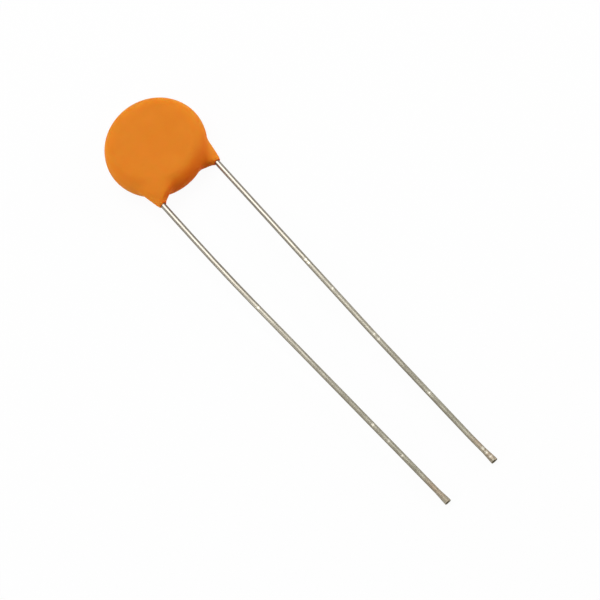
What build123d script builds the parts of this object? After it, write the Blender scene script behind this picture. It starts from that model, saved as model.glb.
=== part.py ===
from build123d import *
from math import acos, degrees, sqrt
import os

# Ceramic disc capacitor: a silvered ceramic disc between two soldered wire leads, dipped in resin.
# It lies on its flat back face. The origin is the centre of that face, +Z leaves the front face and
# the leads run along -Y, the front lead on the -X side and the back lead on the +X side.

# Ceramic disc and its fired silver electrodes
ceramic_diameter = 7.9
ceramic_thickness = 0.7
ceramic_edge_chamfer = 0.06
electrode_diameter = 6.9
electrode_thickness = 0.03

# Round tinned wire leads
lead_diameter = 0.51
lead_pitch = 6.3
lead_free_length = 39.4
lead_bend_setback = 0.75
lead_bend_radius = 0.9
lead_bow_radius = 240.0
lead_overrun = 0.15
lead_tip_chamfer = 0.05

# Place of each lead's slight bow along its free length, then the lead's distance from the centre line
# at that bow and at the tip, as shares of half the pitch
front_lead_shares = (0.228, 1.052, 0.855)
back_lead_shares = (0.58, 0.867, 0.858)

# Solder that wets each wire to its electrode
solder_film = 0.03
solder_cover = 0.06
solder_foot_reach = 0.55
solder_edge_margin = 0.15

# Dipped resin coat, whose rim is fully rounded
coat_face_cover = 0.36
coat_rim_cover = 0.8
leg_overhang = 0.26
leg_uneven = 0.14
leg_lip = 0.095
leg_flare = 0.07
leg_root_cover = 0.04
leg_lip_chamfer = 0.06
leg_blend_radius = 0.6
leg_flank_circle_share = 0.95

# Sections of a resin leg from its lip to its root in the body: place along the leg, then flare, inner
# side and half height, each as a share of the way from its value at the lip to its value at the root
leg_section_shares = (
    (0.0, 0.0, 0.0, 0.0),
    (0.05, 0.6, 0.07, 0.3),
    (0.12, 0.9, 0.32, 0.58),
    (0.2, 1.0, 0.6, 0.76),
    (0.45, 1.0, 0.88, 1.0),
    (0.7, 1.0, 0.97, 0.98),
    (1.0, 1.0, 1.0, 0.75),
)

FRONT = 1
BACK = -1

lead_radius = lead_diameter / 2
half_pitch = lead_pitch / 2
electrode_radius = electrode_diameter / 2
solder_height = solder_film + lead_diameter + solder_cover
electrode_level = ceramic_thickness / 2
solder_level = electrode_level + electrode_thickness
lead_level = solder_level + solder_film + lead_radius
half_thickness = solder_level + solder_height + coat_face_cover
thickness = 2 * half_thickness
body_radius = ceramic_diameter / 2 + coat_rim_cover
flat_radius = body_radius - half_thickness
lead_exit = -(body_radius + leg_overhang)
bend_place = lead_exit + lead_bend_setback
tip_place = lead_exit - lead_free_length


def height(side, level):
    """Height above the rest plane of a level measured from the disc's middle plane."""
    return half_thickness + side * level


def lead_height(side, place):
    """Height of a lead's axis: level over the disc, then sloping down until the tip lies on the plane."""
    start = height(side, lead_level)
    slope_share = max(0, (place - bend_place) / (tip_place - bend_place))
    return start + (lead_radius - start) * slope_share


def lead_wire(side, bow_place_share, bow_share, tip_share):
    """One lead, from its end under the solder on the disc's axis to its cut tip."""
    bend = Vector(-side * half_pitch, bend_place, lead_height(side, bend_place))
    axis_point = Vector(0, 0, bend.Z)
    inner_end = axis_point + (axis_point - bend).normalized() * lead_overrun
    bow_place = lead_exit - lead_free_length * bow_place_share
    bow = Vector(-side * half_pitch * bow_share, bow_place, lead_height(side, bow_place))
    tip = Vector(-side * half_pitch * tip_share, tip_place, lead_height(side, tip_place))
    with BuildPart() as wire:
        with BuildLine() as path:
            FilletPolyline(inner_end, bend, bow, tip, radius=[lead_bend_radius, lead_bow_radius])
        with BuildSketch(path.line ^ 0):
            Circle(lead_radius)
        sweep()
        chamfer(wire.faces().sort_by(Axis.Y)[0].edges(), lead_tip_chamfer)
    return wire.part


def solder_mound(side):
    """Solder along one wire: a straight run with sloping feet, closed by the same foot turned round at
    both ends."""
    crown = lead_radius + solder_cover
    foot = crown + solder_foot_reach
    run = Vector(-side * half_pitch, bend_place, 0).normalized()
    run_length = electrode_radius - solder_edge_margin - foot
    up = Vector(0, 0, side)
    start = Plane(origin=(0, 0, height(side, solder_level)), x_dir=up.cross(run), z_dir=run)
    with BuildPart() as mound:
        with BuildSketch(start):
            Polygon((-foot, 0), (foot, 0), (crown, solder_height), (-crown, solder_height), align=None)
        extrude(amount=run_length)
        for end in (start, start.offset(run_length)):
            with BuildSketch(end):
                Polygon((0, 0), (foot, 0), (crown, solder_height), (0, solder_height), align=None)
            revolve(axis=Axis(end.origin, up))
    return mound.part


def leg_form(side):
    """Outer form of the resin that runs down one lead. In plan its outer flank is the tangent from the lip
    to a circle inside the rim, so it runs into the rim at one angle for any pitch and disc."""
    lip_radius = lead_radius + leg_lip
    lip = Vector(half_pitch + lip_radius + leg_flare, lead_exit - side * leg_uneven)
    rim_radius = flat_radius + sqrt(half_thickness**2 - lead_level**2)
    flank_radius = rim_radius * leg_flank_circle_share
    turn = degrees(acos(flank_radius / lip.length))
    root = lip.normalized().rotate(Axis.Z, turn) * flank_radius
    root_height = half_thickness - lead_level - leg_root_cover
    with BuildPart() as leg:
        for along_share, flare_share, inner_share, height_share in leg_section_shares:
            place = lip + (root - lip) * along_share
            outer = place.X - leg_flare * (1 - flare_share)
            inner = (half_pitch - lip_radius) * (1 - inner_share)
            half_height = lip_radius + (root_height - lip_radius) * height_share
            middle = Vector(-side * (outer + inner) / 2, place.Y, lead_height(side, place.Y))
            with BuildSketch(Plane(origin=middle, x_dir=(1, 0, 0), z_dir=(0, 1, 0))):
                Ellipse((outer - inner) / 2, half_height)
        loft()
        chamfer(leg.edges().group_by(Axis.Y)[0], leg_lip_chamfer)
    return leg.part


with BuildPart() as ceramic_disc:
    with BuildSketch(Plane.XY.offset(height(BACK, electrode_level))):
        Circle(ceramic_diameter / 2)
    extrude(amount=ceramic_thickness)
    chamfer(ceramic_disc.edges().filter_by(GeomType.CIRCLE), ceramic_edge_chamfer)

with BuildPart() as front_electrode:
    with BuildSketch(Plane.XY.offset(height(FRONT, electrode_level))):
        Circle(electrode_radius)
    extrude(amount=electrode_thickness)

with BuildPart() as back_electrode:
    with BuildSketch(Plane.XY.offset(height(BACK, electrode_level))):
        Circle(electrode_radius)
    extrude(amount=-electrode_thickness)

with BuildPart() as front_lead:
    add(lead_wire(FRONT, *front_lead_shares))

with BuildPart() as back_lead:
    add(lead_wire(BACK, *back_lead_shares))

with BuildPart() as front_solder_joint:
    add(solder_mound(FRONT))
    add(front_lead.part, mode=Mode.SUBTRACT)

with BuildPart() as back_solder_joint:
    add(solder_mound(BACK))
    add(back_lead.part, mode=Mode.SUBTRACT)

with BuildPart() as resin_coating:
    with BuildSketch(Plane.XZ):
        with BuildLine():
            Line((0, 0), (flat_radius, 0))
            CenterArc((flat_radius, half_thickness), half_thickness, start_angle=-90, arc_size=180)
            Polyline((flat_radius, thickness), (0, thickness), (0, 0))
        make_face()
    revolve(axis=Axis.Z)
    for side in (FRONT, BACK):
        add(leg_form(side))
        fillet(resin_coating.edges(Select.NEW), leg_blend_radius)
    for core in (ceramic_disc, front_electrode, back_electrode, front_lead, back_lead):
        add(core.part, mode=Mode.SUBTRACT)
    for joint in (front_solder_joint, back_solder_joint):
        add(joint.part, mode=Mode.SUBTRACT)

pieces = {
    "ceramic_disc": ceramic_disc,
    "front_electrode": front_electrode,
    "back_electrode": back_electrode,
    "front_lead": front_lead,
    "back_lead": back_lead,
    "front_solder_joint": front_solder_joint,
    "back_solder_joint": back_solder_joint,
    "resin_coating": resin_coating,
}
os.makedirs("parts", exist_ok=True)
for name, piece in pieces.items():
    piece.part.label = name
    export_step(piece.part, f"parts/{name}.step")
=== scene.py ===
from math import cos, exp, pi, radians, sin, tau

import bmesh
import bpy
import numpy as np
from mathutils import Matrix, Vector, noise


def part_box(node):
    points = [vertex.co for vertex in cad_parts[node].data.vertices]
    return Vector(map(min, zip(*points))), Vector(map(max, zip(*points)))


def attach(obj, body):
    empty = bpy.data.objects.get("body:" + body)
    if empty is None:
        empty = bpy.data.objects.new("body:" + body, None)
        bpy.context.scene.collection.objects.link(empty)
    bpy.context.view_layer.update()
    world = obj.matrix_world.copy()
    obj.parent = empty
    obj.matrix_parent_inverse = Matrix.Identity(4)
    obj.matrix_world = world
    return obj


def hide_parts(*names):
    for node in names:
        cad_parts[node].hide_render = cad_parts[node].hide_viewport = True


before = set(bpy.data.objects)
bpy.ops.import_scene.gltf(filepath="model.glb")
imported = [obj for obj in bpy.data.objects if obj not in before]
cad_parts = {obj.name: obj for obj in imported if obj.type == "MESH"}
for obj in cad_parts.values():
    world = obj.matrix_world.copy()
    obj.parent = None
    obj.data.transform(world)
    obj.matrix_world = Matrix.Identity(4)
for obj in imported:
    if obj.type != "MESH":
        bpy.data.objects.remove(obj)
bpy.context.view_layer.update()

# Sizes in metres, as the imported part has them
MM = 0.001
LEAD_RADIUS = 0.255 * MM
COAT_LOW, COAT_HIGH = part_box("resin_coating")
TIP_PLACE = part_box("front_lead")[0].y

# Resin coat, worked in millimetres: mesh grain, relaxing, and the waves and uneven lips of a dipped coat
COAT_WELD = 0.00008
COAT_GRAIN = 0.08
COAT_RELAX_PASSES = 6
COAT_RELAX_FACTOR = 0.5
COAT_WAVE = 0.012
COAT_WAVE_LENGTH = 2.6
COAT_LIP_WAVE = 0.07
COAT_LIP_WAVE_LENGTH = 0.45
COAT_LIP_REACH = 0.7

# Where the coat meets a wire, from the place on Y where the legs begin: what lies this near to the wire's
# axis is drawn on to the wire, both as shares of the wire's radius
COAT_LEG_PLACE = -4.275
COAT_HOLE_CATCH = 1.22
COAT_HOLE_CLOSE = 0.985

# Filling of the hollows where the legs leave the rim, as wet resin fills them. It sets in along Y and works
# on the outer skin alone, which lies past a radius from the disc's axis or a level from its middle plane
FILL_PASSES = 480
FILL_STEP = 0.5
FILL_START = -1.6
FILL_RAMP = 1.2
SKIN_RADIUS = 4.05
SKIN_LEVEL = 1.1

# Painted shade on the resin: a deeper, redder colour on the faces turned towards the leads' side of the
# coat
SHADE_FACING = Vector((0.1, -0.99, 0))
SHADE_FACING_START = 0.25
SHADE_FACING_RAMP = 0.75

# Leads: mesh steps, the rings that give an end its direction, drawn-wire waviness and cut tips
WIRE_STEP = 0.09 * MM
WIRE_SIDES = 28
WIRE_END_RINGS = 3
WIRE_WAVE = 0.014
WIRE_WAVE_LENGTH = 1.9 * MM
TIP_FLAT_REACH = 1.6 * MM
TIP_WIDEN = 0.24
TIP_THIN = 0.13
TIP_OVERHANG = 0.14
CAP_RING_SHARES = (0.9, 0.62, 0.3)
FRONT_CURL = 0
BACK_CURL = 0.07 * MM
CURL_REACH = 3.6 * MM
FRONT_SEED = 1.7
BACK_SEED = 4.1

# Nicks on the wires' upper side, with the distance in millimetres of each from the lead's cut tip
NICK_DEPTH = 0.12
NICK_HALF_LENGTH = 0.11 * MM
NICK_HALF_ANGLE = 0.45
NICK_LEAN = 0.5
FRONT_NICKS = (6.11, 7.99, 10.14, 25.74)
BACK_NICKS = (0.58, 1.1, 1.61, 8.96, 16.07, 16.71, 22.7, 26.12, 26.54)

# Painted shade on the wires' flanks, which leaves a lit ridge along the top: it sets in between two heights
# on a wire of radius 1, turned further round towards the tip
FLANK_SHADE_START = 0.78
FLANK_SHADE_END = 0.25
FLANK_SHADE_TURN = 0.6

# Lengths of wire that are lighter next to the coat, partly fresher tin and partly painted reflection, and
# browned by handling at the tip
FRESH_AND_LIT_REACH = 13 * MM
HANDLED_REACH = 4 * MM

# Colour sockets of a mix node, and the range that most of a noise texture lies in
MIX_FIRST = 6
MIX_SECOND = 7
MIX_RESULT = 2
NOISE_LOW = 0.3
NOISE_HIGH = 0.7

# Look of the resin: tones, grain, gloss, light under its skin, and relief by strength and depth
RESIN_TONES = ((0.675, 0.203, 0.009), (0.705, 0.217, 0.012))
RESIN_SPECKLE = (0.735, 0.235, 0.02)
# Painted shade: deeper, redder resin colour on the faces turned towards the leads' side
RESIN_PAINTED_SHADE = (0.72, 0.135, 0.001)
RESIN_BROAD_GRAIN = 1.6 * MM
RESIN_FINE_GRAIN = 0.18 * MM
RESIN_FINE_DETAIL = 5
RESIN_SPECKLE_SHARE = 0.35
RESIN_SPECKLE_EDGES = (0.55, 0.8)
RESIN_ROUGHNESS = (0.6, 0.74)
RESIN_SPECULAR = 0.12
RESIN_SUBSURFACE = 0.6
RESIN_SUBSURFACE_RADIUS = (1, 0.2, 0.05)
RESIN_SUBSURFACE_SCALE = 0.35 * MM
RESIN_RELIEF = (0.12, 0.01 * MM)

# Look of the wire: dark and light tone of its draw lines from the coat to the tip, lighter near the coat
# partly as painted reflection, stains, painted shade on the flanks, and bare spots that are partly painted
# glint
# Lighter tones next to the coat: partly fresher tin, partly painted reflection
WIRE_FRESH_AND_LIT_TONES = ((0.36, 0.33, 0.28), (0.46, 0.425, 0.37))
WIRE_WORN_TONES = ((0.35, 0.32, 0.265), (0.43, 0.4, 0.335))
WIRE_DULL_TONES = ((0.265, 0.25, 0.19), (0.365, 0.348, 0.275))
WIRE_BROWNED = (0.4, 0.29, 0.2)
WIRE_BROWNED_SHARES = (0.2, 0.8)
# Painted shade on the wires' flanks, and how much of it is laid on
WIRE_FLANK_SHADE = (0.2, 0.18, 0.135)
WIRE_FLANK_SHADE_SHARE = 0.65
# Bright bare tin in the nicks, partly a painted glint
WIRE_NICK_GLINT = (0.74, 0.7, 0.6)
WIRE_CUT = (0.14, 0.125, 0.08)
WIRE_EDGE_TINT = (0.35, 0.32, 0.27, 1)
WIRE_LINE_GRAIN = 0.15 * MM
WIRE_LINE_DETAIL = 1
WIRE_LINE_STRETCH = 60
WIRE_STAIN_GRAIN = 0.9 * MM
WIRE_STAIN_DETAIL = 1.5
WIRE_ROUGHNESS = (0.26, 0.55)
WIRE_ROUGHNESS_EDGES = (0, 0.5)
WIRE_STAIN_ROUGHNESS_SHARES = (0.85, 1.15)
WIRE_RELIEF = (0.15, 0.006 * MM)

# Looks of the pieces under the resin: grain, dark and light tone, metallic share and roughness
INNER_LOOKS = {
    "dielectric_ceramic": (0.4 * MM, (0.34, 0.27, 0.2), (0.5, 0.42, 0.33), 0, 0.6),
    "fired_silver": (0.2 * MM, (0.7, 0.68, 0.64), (0.85, 0.83, 0.79), 1, 0.42),
    "solder": (0.5 * MM, (0.48, 0.48, 0.49), (0.66, 0.66, 0.67), 1, 0.3),
}
INNER_SLOTS = {
    "ceramic_disc": "dielectric_ceramic",
    "front_electrode": "fired_silver",
    "back_electrode": "fired_silver",
    "front_solder_joint": "solder",
    "back_solder_joint": "solder",
}
INNER_DETAIL = 5
INNER_ROUGHNESS_SPREAD = 0.08
INNER_RELIEF = (0.15, 0.01 * MM)

# White floor with the object's faint shadow
WHITE = (1, 1, 1, 1)
FLOOR_HALF_SIDE = 4.0
FLOOR_MATT = (0.8, 0.8, 0.8, 1)
FLOOR_GLOW = 1.0
FLOOR_GLOW_SHARE = 0.95

# Studio: grey walls with a dark opening on the camera's side, and soft panels about the disc, each with
# the direction that it shines from, its sides and its power
WALL_LIGHT = 0.48
OPENING_LIGHT = 0.2
OPENING_EDGES = (-0.3, 0.2)
PANEL_AIM = Vector((0, -0.004, 0.001))
PANEL_DISTANCE = 0.26
PANELS = {
    "top_panel": (Vector((0.05, 0.41, 0.91)), (0.3, 0.2), 0.51),
    "left_panel": (Vector((-0.94, 0, 0.34)), (0.14, 0.12), 0.2),
    "right_panel": (Vector((0.9, -0.3, 0.3)), (0.14, 0.12), 0.33),
}

# Camera at the photograph's place
VIEW_AZIMUTH = radians(10.3619)
VIEW_ELEVATION = radians(65.2038)
VIEW_ROLL = radians(-32.0166)
VIEW_DISTANCE = 0.7069265
VIEW_AIM = Vector((-0.0203, -20.7571, 1.34)) * MM
VIEW_FOCAL_PIXELS = 7944.837
VIEW_PIXELS = 600
SENSOR = 36
CLIP = (0.01, 20)


def new_node(tree, kind, **sockets):
    """New shader node with the values of its sockets."""
    made = tree.nodes.new(kind)
    for name, value in sockets.items():
        made.inputs[name.replace("_", " ")].default_value = value
    return made


def surface(name):
    """New material with its shader, tree and the coordinates of the part's own frame."""
    material = bpy.data.materials.new(name)
    material.use_nodes = True
    tree = material.node_tree
    shader = tree.nodes["Principled BSDF"]
    place = tree.nodes.new("ShaderNodeTexCoord").outputs["Object"]
    return material, tree, shader, place


def grain(tree, place, size, detail=3.0, stretch=None):
    """Noise with features of the given size in metres, drawn out along the leads where stretched."""
    if stretch:
        mapping = new_node(tree, "ShaderNodeMapping", Scale=(1, 1 / stretch, 1))
        tree.links.new(place, mapping.inputs["Vector"])
        place = mapping.outputs["Vector"]
    texture = new_node(tree, "ShaderNodeTexNoise", Scale=1 / size, Detail=detail)
    tree.links.new(place, texture.inputs["Vector"])
    return texture.outputs["Fac"]


def spread(tree, value, low, high, start=NOISE_LOW, end=NOISE_HIGH):
    """Value taken from the range between start and end to the one between low and high."""
    made = new_node(tree, "ShaderNodeMapRange", From_Min=start, From_Max=end, To_Min=low, To_Max=high)
    tree.links.new(value, made.inputs["Value"])
    return made.outputs["Result"]


def blended(tree, share, first, second):
    """Colour between two colours, each a tuple or another node's output."""
    mix = tree.nodes.new("ShaderNodeMix")
    mix.data_type = "RGBA"
    tree.links.new(share, mix.inputs["Factor"])
    for index, colour in ((MIX_FIRST, first), (MIX_SECOND, second)):
        if isinstance(colour, tuple):
            mix.inputs[index].default_value = (*colour, 1)
        else:
            tree.links.new(colour, mix.inputs[index])
    return mix.outputs[MIX_RESULT]


def combined(tree, operation, first, second):
    """Two values worked into one."""
    made = tree.nodes.new("ShaderNodeMath")
    made.operation = operation
    tree.links.new(first, made.inputs[0])
    tree.links.new(second, made.inputs[1])
    return made.outputs[0]


def relief(tree, shader, height, strength, depth):
    """Fine relief on a shader's normal."""
    bump = new_node(tree, "ShaderNodeBump", Strength=strength, Distance=depth)
    tree.links.new(height, bump.inputs["Height"])
    tree.links.new(bump.outputs["Normal"], shader.inputs["Normal"])


def named_value(tree, name):
    """Value that a mesh carries at its vertices."""
    made = tree.nodes.new("ShaderNodeAttribute")
    made.attribute_name = name
    return made.outputs["Fac"]


def place_on_y(tree, place):
    """Place along the leads."""
    axes = tree.nodes.new("ShaderNodeSeparateXYZ")
    tree.links.new(place, axes.inputs["Vector"])
    return axes.outputs["Y"]


def resin_surface():
    """Satin orange dipped resin with faint mottling, and painted shade: deeper and redder on the faces
    turned towards the leads' side.
    """
    material, tree, shader, place = surface("orange_resin")
    broad = grain(tree, place, RESIN_BROAD_GRAIN)
    fine = grain(tree, place, RESIN_FINE_GRAIN, RESIN_FINE_DETAIL)
    mottled = blended(tree, spread(tree, broad, 0, 1), *RESIN_TONES)
    speckles = spread(tree, fine, 0, RESIN_SPECKLE_SHARE, *RESIN_SPECKLE_EDGES)
    speckled = blended(tree, speckles, mottled, RESIN_SPECKLE)
    # Painted shade: the resin turns deeper and redder where its faces turn towards the leads' side
    shaded_resin = blended(tree, named_value(tree, "painted_shade"), speckled, RESIN_PAINTED_SHADE)
    tree.links.new(shaded_resin, shader.inputs["Base Color"])
    tree.links.new(spread(tree, fine, *RESIN_ROUGHNESS), shader.inputs["Roughness"])
    shader.inputs["Specular IOR Level"].default_value = RESIN_SPECULAR
    shader.inputs["Subsurface Weight"].default_value = RESIN_SUBSURFACE
    shader.inputs["Subsurface Radius"].default_value = RESIN_SUBSURFACE_RADIUS
    shader.inputs["Subsurface Scale"].default_value = RESIN_SUBSURFACE_SCALE
    relief(tree, shader, fine, *RESIN_RELIEF)
    return material


def wire_surface():
    """Tinned wire with draw lines, duller towards the cut tips and lighter next to the coat, partly as
    painted reflection, with painted shade on its flanks, bright where nicked, partly as painted glint, and
    dark where cut.
    """
    material, tree, shader, place = surface("tinned_wire")
    lines = grain(tree, place, WIRE_LINE_GRAIN, WIRE_LINE_DETAIL, WIRE_LINE_STRETCH)
    stain = grain(tree, place, WIRE_STAIN_GRAIN, WIRE_STAIN_DETAIL)
    run = place_on_y(tree, place)
    young = spread(tree, run, 0, 1, COAT_LOW.y, COAT_LOW.y - FRESH_AND_LIT_REACH)
    old = spread(tree, run, 0, 1, COAT_LOW.y - FRESH_AND_LIT_REACH / 2, TIP_PLACE)
    handled = spread(tree, run, 0, 1, TIP_PLACE + HANDLED_REACH, TIP_PLACE + HANDLED_REACH / 2)
    drawn = spread(tree, lines, 0, 1)
    # Lighter next to the coat: partly fresher tin, partly painted reflection
    fresh_and_lit = blended(tree, drawn, *WIRE_FRESH_AND_LIT_TONES)
    worn = blended(tree, drawn, *WIRE_WORN_TONES)
    dull = blended(tree, drawn, *WIRE_DULL_TONES)
    aged = blended(tree, old, blended(tree, young, fresh_and_lit, worn), dull)
    browning = combined(tree, "MULTIPLY", handled, spread(tree, stain, *WIRE_BROWNED_SHARES))
    browned = blended(tree, browning, aged, WIRE_BROWNED)
    # Painted shade on the wire's flanks, from the side attribute
    flank_shading = spread(tree, named_value(tree, "side"), 0, WIRE_FLANK_SHADE_SHARE, 0, 1)
    flank_shaded = blended(tree, flank_shading, browned, WIRE_FLANK_SHADE)
    # Nicks: bare tin, partly a painted glint
    nick_glinted = blended(tree, named_value(tree, "nick"), flank_shaded, WIRE_NICK_GLINT)
    cut = blended(tree, named_value(tree, "cut"), nick_glinted, WIRE_CUT)
    tree.links.new(cut, shader.inputs["Base Color"])
    stained = spread(tree, stain, *WIRE_STAIN_ROUGHNESS_SHARES)
    dulled = spread(tree, old, *WIRE_ROUGHNESS, *WIRE_ROUGHNESS_EDGES)
    tree.links.new(combined(tree, "MULTIPLY", stained, dulled), shader.inputs["Roughness"])
    shader.inputs["Metallic"].default_value = 1
    shader.inputs["Specular Tint"].default_value = WIRE_EDGE_TINT
    relief(tree, shader, lines, *WIRE_RELIEF)
    return material


def inner_surface(name, size, dark, light, metallic, rough):
    """Surface of a piece under the resin: mottled in two tones with a fine relief."""
    material, tree, shader, place = surface(name)
    tone = grain(tree, place, size, INNER_DETAIL)
    tree.links.new(blended(tree, spread(tree, tone, 0, 1), dark, light), shader.inputs["Base Color"])
    roughness = spread(tree, tone, rough - INNER_ROUGHNESS_SPREAD, rough + INNER_ROUGHNESS_SPREAD)
    tree.links.new(roughness, shader.inputs["Roughness"])
    shader.inputs["Metallic"].default_value = metallic
    relief(tree, shader, tone, *INNER_RELIEF)
    return material


def floor_surface():
    """Matt white floor that camera, mirror and glass rays see nearly white, with a faint shadow."""
    material = bpy.data.materials.new("floor_white")
    material.use_nodes = True
    tree = material.node_tree
    tree.nodes.clear()
    output = tree.nodes.new("ShaderNodeOutputMaterial")
    matt = new_node(tree, "ShaderNodeBsdfDiffuse", Color=FLOOR_MATT)
    glow = new_node(tree, "ShaderNodeEmission", Color=WHITE, Strength=FLOOR_GLOW)
    path = tree.nodes.new("ShaderNodeLightPath")
    seen = path.outputs["Is Camera Ray"]
    for ray in ("Is Glossy Ray", "Is Transmission Ray"):
        seen = combined(tree, "MAXIMUM", seen, path.outputs[ray])
    mix = tree.nodes.new("ShaderNodeMixShader")
    tree.links.new(spread(tree, seen, 0, FLOOR_GLOW_SHARE, 0, 1), mix.inputs[0])
    tree.links.new(matt.outputs[0], mix.inputs[1])
    tree.links.new(glow.outputs[0], mix.inputs[2])
    tree.links.new(mix.outputs[0], output.inputs["Surface"])
    return material


def smooth_share(value):
    """Smooth step from 0 to 1."""
    value = min(1, max(0, value))
    return value * value * (3 - 2 * value)


def new_piece(name, mesh, material, node):
    """Piece of the object that stands for one solid of the part."""
    mesh.materials.clear()
    mesh.materials.append(material)
    for face in mesh.polygons:
        face.use_smooth = True
    piece = bpy.data.objects.new(name, mesh)
    bpy.context.scene.collection.objects.link(piece)
    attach(piece, "root")
    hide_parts(node)
    return piece


def lead_axis(node):
    """Points along the middle of a lead, from its end in the solder to its cut tip, evenly spaced."""
    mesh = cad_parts[node].data
    points = np.array([vertex.co for vertex in mesh.vertices])
    ends = points[np.array([edge.vertices for edge in mesh.edges])]
    starts, runs = ends[:, 0], ends[:, 1] - ends[:, 0]
    low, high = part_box(node)
    middles = []
    for level in np.arange(high.y - 2 * LEAD_RADIUS, low.y + LEAD_RADIUS, -WIRE_STEP):
        crossing = (starts[:, 1] - level) * (ends[:, 1, 1] - level) < 0
        share = (level - starts[crossing, 1]) / runs[crossing, 1]
        ring = starts[crossing] + runs[crossing] * share[:, None]
        middles.append((ring.min(0) + ring.max(0)) / 2)
    middles = np.array(middles)
    for end, inward in ((0, WIRE_END_RINGS), (-1, -1 - WIRE_END_RINGS)):
        run = middles[end] - middles[inward]
        run /= np.linalg.norm(run)
        reach = ((points - middles[end]) @ run).max()
        middles[end] = middles[end] + run * reach
    lengths = np.concatenate(([0], np.cumsum(np.linalg.norm(np.diff(middles, axis=0), axis=1))))
    steps = np.linspace(0, lengths[-1], int(lengths[-1] / WIRE_STEP))
    return np.stack([np.interp(steps, lengths, middles[:, axis]) for axis in range(3)], 1), steps


def nick_share(nicks, to_tip, angle, seed):
    """How far a place on a wire lies in one of its nicks."""
    mark = 0
    for number, nick in enumerate(nicks):
        lean = NICK_LEAN * noise.noise(Vector((number + seed, nick, seed)))
        offset = (to_tip - nick * MM) / NICK_HALF_LENGTH
        turn = (angle - pi / 2 - lean) / NICK_HALF_ANGLE
        mark = max(mark, exp(-offset * offset - turn * turn))
    return mark


def wire_piece(name, node, nicks, curl, seed):
    """One lead: a drawn wire with nicks, a flattened and slanted cut tip and rounded end faces."""
    middles, steps = lead_axis(node)
    length = steps[-1]
    last = len(middles) - 1
    mesh = bmesh.new()
    nick_layer = mesh.verts.layers.float.new("nick")
    cut_layer = mesh.verts.layers.float.new("cut")
    flank_shade_layer = mesh.verts.layers.float.new("side")
    rings = []

    def add_ring(index, scale, cut):
        to_tip = length - steps[index]
        run = Vector(middles[min(index + 1, last)] - middles[max(index - 1, 0)]).normalized()
        side = run.cross(Vector((0, 0, 1))).normalized()
        up = side.cross(run)
        flat = 1 - smooth_share(to_tip / TIP_FLAT_REACH)
        bend = smooth_share(1 - to_tip / CURL_REACH) * curl
        flank_shade_turn = FLANK_SHADE_TURN * (1 - to_tip / length)
        middle = Vector(middles[index]) + Vector((bend, 0, 0))
        ring = []
        for count in range(WIRE_SIDES):
            angle = tau * count / WIRE_SIDES
            wave = noise.noise(Vector((cos(angle), sin(angle) + seed, steps[index] / WIRE_WAVE_LENGTH)))
            mark = nick_share(nicks, to_tip, angle, seed)
            radius = LEAD_RADIUS * (1 + WIRE_WAVE * wave) * (1 - NICK_DEPTH * mark)
            across = cos(angle) * radius * scale * (1 + TIP_WIDEN * flat)
            rise = sin(angle) * radius * scale * (1 - TIP_THIN * flat)
            slant = run * ((rise - LEAD_RADIUS) * TIP_OVERHANG * flat)
            sunk = FLANK_SHADE_START - sin(angle - flank_shade_turn)
            vertex = mesh.verts.new(middle + side * across + up * rise + slant)
            vertex[nick_layer] = mark
            vertex[cut_layer] = cut
            # Painted shade: share of the dark flank colour, none along the lit ridge on top
            vertex[flank_shade_layer] = smooth_share(sunk / (FLANK_SHADE_START - FLANK_SHADE_END))
            ring.append(vertex)
        rings.append(ring)

    for share in reversed(CAP_RING_SHARES):
        add_ring(0, share, 1)
    for index in range(last + 1):
        add_ring(index, 1, 0)
    for share in CAP_RING_SHARES:
        add_ring(last, share, 1)
    for ring, after in zip(rings, rings[1:]):
        for count in range(WIRE_SIDES):
            other = (count + 1) % WIRE_SIDES
            mesh.faces.new((ring[count], ring[other], after[other], after[count]))
    mesh.faces.new(list(reversed(rings[0])))
    mesh.faces.new(rings[-1])
    bmesh.ops.recalc_face_normals(mesh, faces=mesh.faces)
    data = bpy.data.meshes.new(name)
    mesh.to_mesh(data)
    mesh.free()
    return new_piece(name, data, WIRE, node)


def even_coat():
    """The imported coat's form in an even mesh of four-sided faces, relaxed, in millimetres."""
    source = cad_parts["resin_coating"].data.copy()
    source.transform(Matrix.Scale(1 / MM, 4))
    mesh = bmesh.new()
    mesh.from_mesh(source)
    bmesh.ops.remove_doubles(mesh, verts=mesh.verts, dist=COAT_WELD)
    mesh.to_mesh(source)
    mesh.free()
    rough = bpy.data.objects.new("rough_coat", source)
    bpy.context.scene.collection.objects.link(rough)
    even = rough.modifiers.new("even", "REMESH")
    even.mode = "VOXEL"
    even.voxel_size = COAT_GRAIN
    relax = rough.modifiers.new("relax", "SMOOTH")
    relax.factor = COAT_RELAX_FACTOR
    relax.iterations = COAT_RELAX_PASSES
    view = bpy.context.evaluated_depsgraph_get()
    data = bpy.data.meshes.new_from_object(rough.evaluated_get(view))
    bpy.data.objects.remove(rough)
    data.name = "resin_coat"
    return data


def fill_shares(points, axes):
    """How far each point takes part in the filling: the outer skin about the legs, clear of the wires."""
    middle_level = (COAT_LOW.z + COAT_HIGH.z) / 2 / MM
    outside = np.hypot(points[:, 0], points[:, 1]) > SKIN_RADIUS
    outside |= abs(points[:, 2] - middle_level) > SKIN_LEVEL
    for axis in axes:
        reach = np.array([np.linalg.norm(axis - point, axis=1).min() for point in points])
        outside &= reach > LEAD_RADIUS / MM * COAT_HOLE_CATCH
    return outside * ((FILL_START - points[:, 1]) / FILL_RAMP).clip(0, 1)


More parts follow.
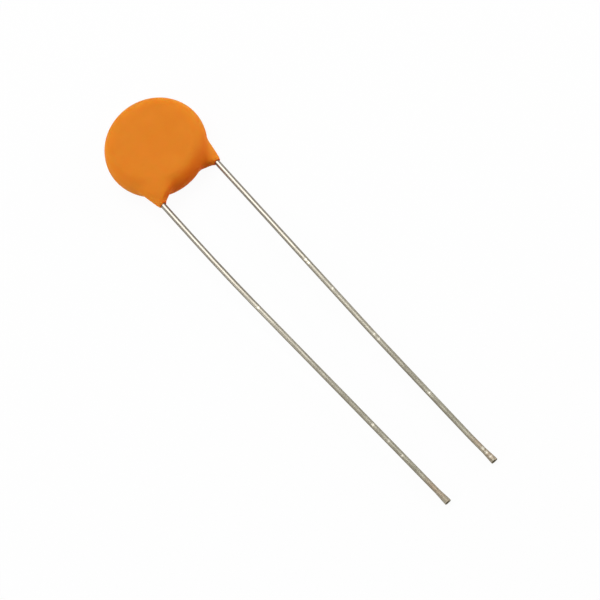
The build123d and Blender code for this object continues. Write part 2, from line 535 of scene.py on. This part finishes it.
def fill_hollows(points, edges, faces, shares):
    """Points moved outwards wherever the skin is hollow, pass by pass; ridges and flats stay."""
    count = len(points)
    ends = np.concatenate((edges, edges[:, ::-1]))
    degree = np.bincount(ends[:, 0], minlength=count)[:, None]
    for _ in range(FILL_PASSES):
        first_diagonal = points[faces[:, 2]] - points[faces[:, 0]]
        second_diagonal = points[faces[:, 3]] - points[faces[:, 1]]
        face_normals = np.cross(first_diagonal, second_diagonal)
        normals = np.zeros_like(points)
        for corner in range(4):
            for axis in range(3):
                normals[:, axis] += np.bincount(faces[:, corner], face_normals[:, axis], count)
        normals /= np.linalg.norm(normals, axis=1, keepdims=True)
        sums = np.stack([np.bincount(ends[:, 0], points[ends[:, 1], axis], count) for axis in range(3)], 1)
        hollow = ((sums / degree - points) * normals).sum(1).clip(min=0)
        points = points + normals * (hollow * shares * FILL_STEP)[:, None]
    return points


def dipped_point(point, normal, axes):
    """Point of the coat with its waves and uneven lips, drawn on to a wire that it lies next to."""
    radius = LEAD_RADIUS / MM
    moved = point + normal * (COAT_WAVE * noise.noise(point / COAT_WAVE_LENGTH))
    lip = smooth_share((COAT_LOW.y / MM + COAT_LIP_REACH - point.y) / COAT_LIP_REACH)
    if lip > 0:
        moved.y += COAT_LIP_WAVE * lip * noise.noise(point / COAT_LIP_WAVE_LENGTH)
    if point.y < COAT_LEG_PLACE:
        for axis in axes:
            nearest = Vector(axis[np.argmin(np.linalg.norm(axis - np.array(point), axis=1))])
            arm = moved - nearest
            if arm.length < radius * COAT_HOLE_CATCH:
                moved = nearest + arm.normalized() * radius * COAT_HOLE_CLOSE
    moved.z = max(moved.z, 0)
    return moved


def coat_piece():
    """Resin coat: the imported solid's form with its hollows filled, faint waves and uneven lips."""
    data = even_coat()
    axes = [lead_axis(node)[0] / MM for node in ("front_lead", "back_lead")]
    points = np.array([vertex.co for vertex in data.vertices])
    edges = np.array([edge.vertices for edge in data.edges])
    faces = np.array([face.vertices for face in data.polygons])
    filled = fill_hollows(points, edges, faces, fill_shares(points, axes))
    data.vertices.foreach_set("co", filled.ravel())
    data.update()
    normals = [vertex.normal.copy() for vertex in data.vertices]
    # Painted shade: share of the deeper resin colour, from how far each face turns towards the leads' side
    painted_shade = data.attributes.new("painted_shade", "FLOAT", "POINT")
    turned = [(normal.dot(SHADE_FACING) - SHADE_FACING_START) / SHADE_FACING_RAMP for normal in normals]
    painted_shade.data.foreach_set("value", [smooth_share(value) for value in turned])
    for vertex, normal in zip(data.vertices, normals):
        vertex.co = dipped_point(vertex.co.copy(), normal, axes) * MM
    return new_piece("resin_coat", data, RESIN, "resin_coating")


def dress_inner_nodes():
    """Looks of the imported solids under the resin, which stay as they are."""
    looks = {slot: inner_surface(slot, *values) for slot, values in INNER_LOOKS.items()}
    for node, slot in INNER_SLOTS.items():
        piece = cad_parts[node]
        piece.data.materials.clear()
        piece.data.materials.append(looks[slot])


def add_floor():
    """Floor at the plane that the part rests on."""
    data = bpy.data.meshes.new("floor")
    signs = ((-1, -1), (1, -1), (1, 1), (-1, 1))
    corners = [(x * FLOOR_HALF_SIDE, y * FLOOR_HALF_SIDE, 0) for x, y in signs]
    data.from_pydata(corners, [], [(0, 1, 2, 3)])
    data.materials.append(floor_surface())
    floor = bpy.data.objects.new("floor", data)
    bpy.context.scene.collection.objects.link(floor)


def add_light():
    """World walls and softbox panels."""
    world = bpy.data.worlds.new("studio")
    bpy.context.scene.world = world
    world.use_nodes = True
    tree = world.node_tree
    walls = tree.nodes["Background"]
    direction = tree.nodes.new("ShaderNodeTexCoord").outputs["Generated"]
    level = spread(tree, place_on_y(tree, direction), OPENING_LIGHT, WALL_LIGHT, *OPENING_EDGES)
    tree.links.new(level, walls.inputs["Strength"])
    walls.inputs["Color"].default_value = WHITE
    for name, (towards, sides, power) in PANELS.items():
        lamp = bpy.data.lights.new(name, "AREA")
        lamp.shape = "RECTANGLE"
        lamp.size, lamp.size_y = sides
        lamp.energy = power
        panel = bpy.data.objects.new(name, lamp)
        panel.location = PANEL_AIM + towards.normalized() * PANEL_DISTANCE
        panel.rotation_mode = "QUATERNION"
        panel.rotation_quaternion = (-towards).to_track_quat("-Z", "Y")
        bpy.context.scene.collection.objects.link(panel)


def add_camera():
    """Camera turned about its own axis as the photograph is."""
    back = Vector((
        -sin(VIEW_AZIMUTH) * cos(VIEW_ELEVATION),
        -cos(VIEW_AZIMUTH) * cos(VIEW_ELEVATION),
        sin(VIEW_ELEVATION),
    ))
    level = Vector((cos(VIEW_AZIMUTH), -sin(VIEW_AZIMUTH), 0))
    rise = back.cross(level)
    across = level * cos(VIEW_ROLL) + rise * sin(VIEW_ROLL)
    upward = rise * cos(VIEW_ROLL) - level * sin(VIEW_ROLL)
    turn = Matrix((across, upward, back)).transposed()
    data = bpy.data.cameras.new("camera")
    data.sensor_fit = "HORIZONTAL"
    data.sensor_width = SENSOR
    data.lens = VIEW_FOCAL_PIXELS * SENSOR / VIEW_PIXELS
    data.clip_start, data.clip_end = CLIP
    camera = bpy.data.objects.new("camera", data)
    camera.matrix_world = Matrix.Translation(VIEW_AIM + back * VIEW_DISTANCE) @ turn.to_4x4()
    bpy.context.scene.collection.objects.link(camera)
    bpy.context.scene.camera = camera


RESIN = resin_surface()
WIRE = wire_surface()

coat_piece()
wire_piece("front_wire", "front_lead", FRONT_NICKS, FRONT_CURL, FRONT_SEED)
wire_piece("back_wire", "back_lead", BACK_NICKS, BACK_CURL, BACK_SEED)
dress_inner_nodes()

add_floor()
add_light()
add_camera()
bpy.context.scene.view_settings.view_transform = "Standard"
